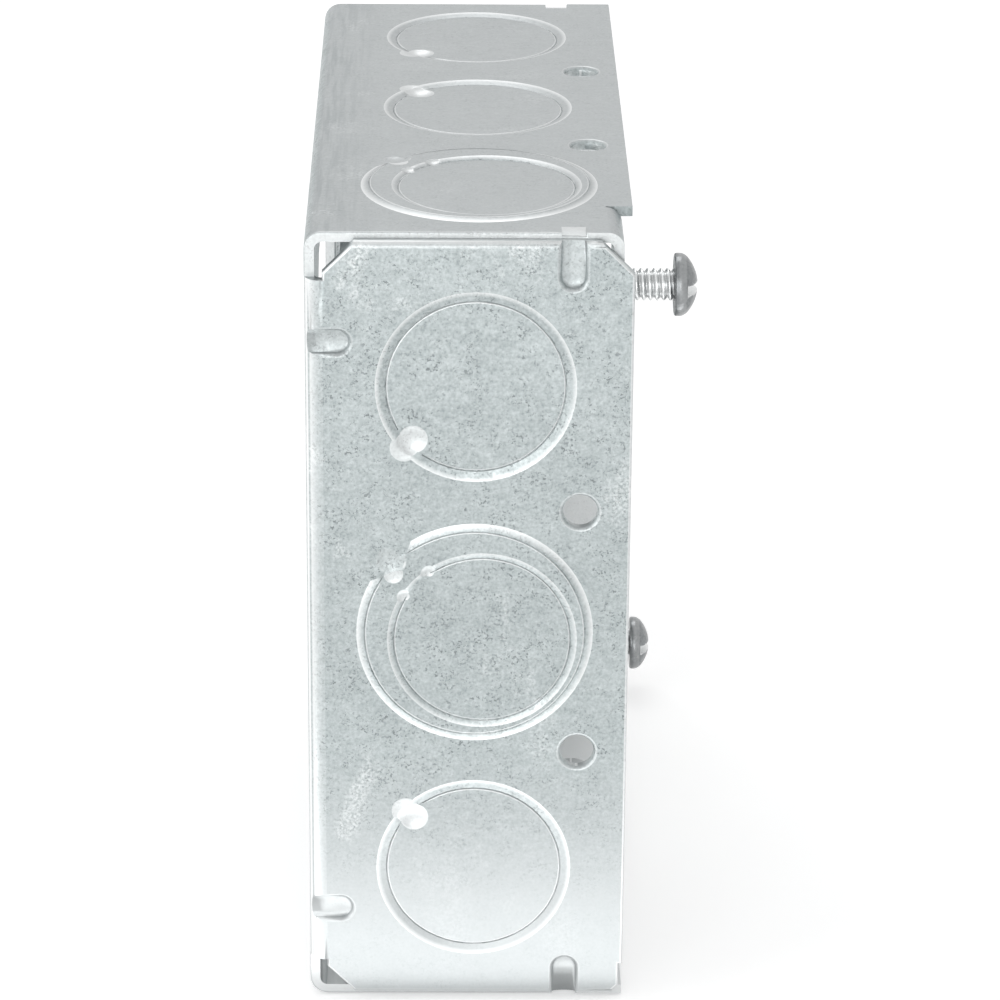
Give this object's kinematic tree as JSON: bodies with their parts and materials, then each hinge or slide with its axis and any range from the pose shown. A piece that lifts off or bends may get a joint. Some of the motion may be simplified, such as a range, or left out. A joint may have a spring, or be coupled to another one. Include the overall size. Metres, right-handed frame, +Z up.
{
  "type": "square box extension ring",
  "caption": "Shallow square ring of folded galvanised steel that makes a wiring box deeper, with tied knockouts in its sides, an open back window and cover screws in corner ears.",
  "frame": {"origin": "middle of the back seating face, halfway between the two back screw holes", "axes": "+X from the back seating face to the open front, +Y from the near side to the far side, +Z up as the ring stands on its lower side"},
  "size_m": [0.047, 0.1022, 0.1022],
  "materials": {
    "galvanised_sheet": "galvanised, satin with fine spangle",
    "screw_zinc": "bright zinc plate"
  },
  "bodies": {
    "root": {"ring_body": "galvanised_sheet", "cover_screws": "screw_zinc"}
  },
  "joints": []
}
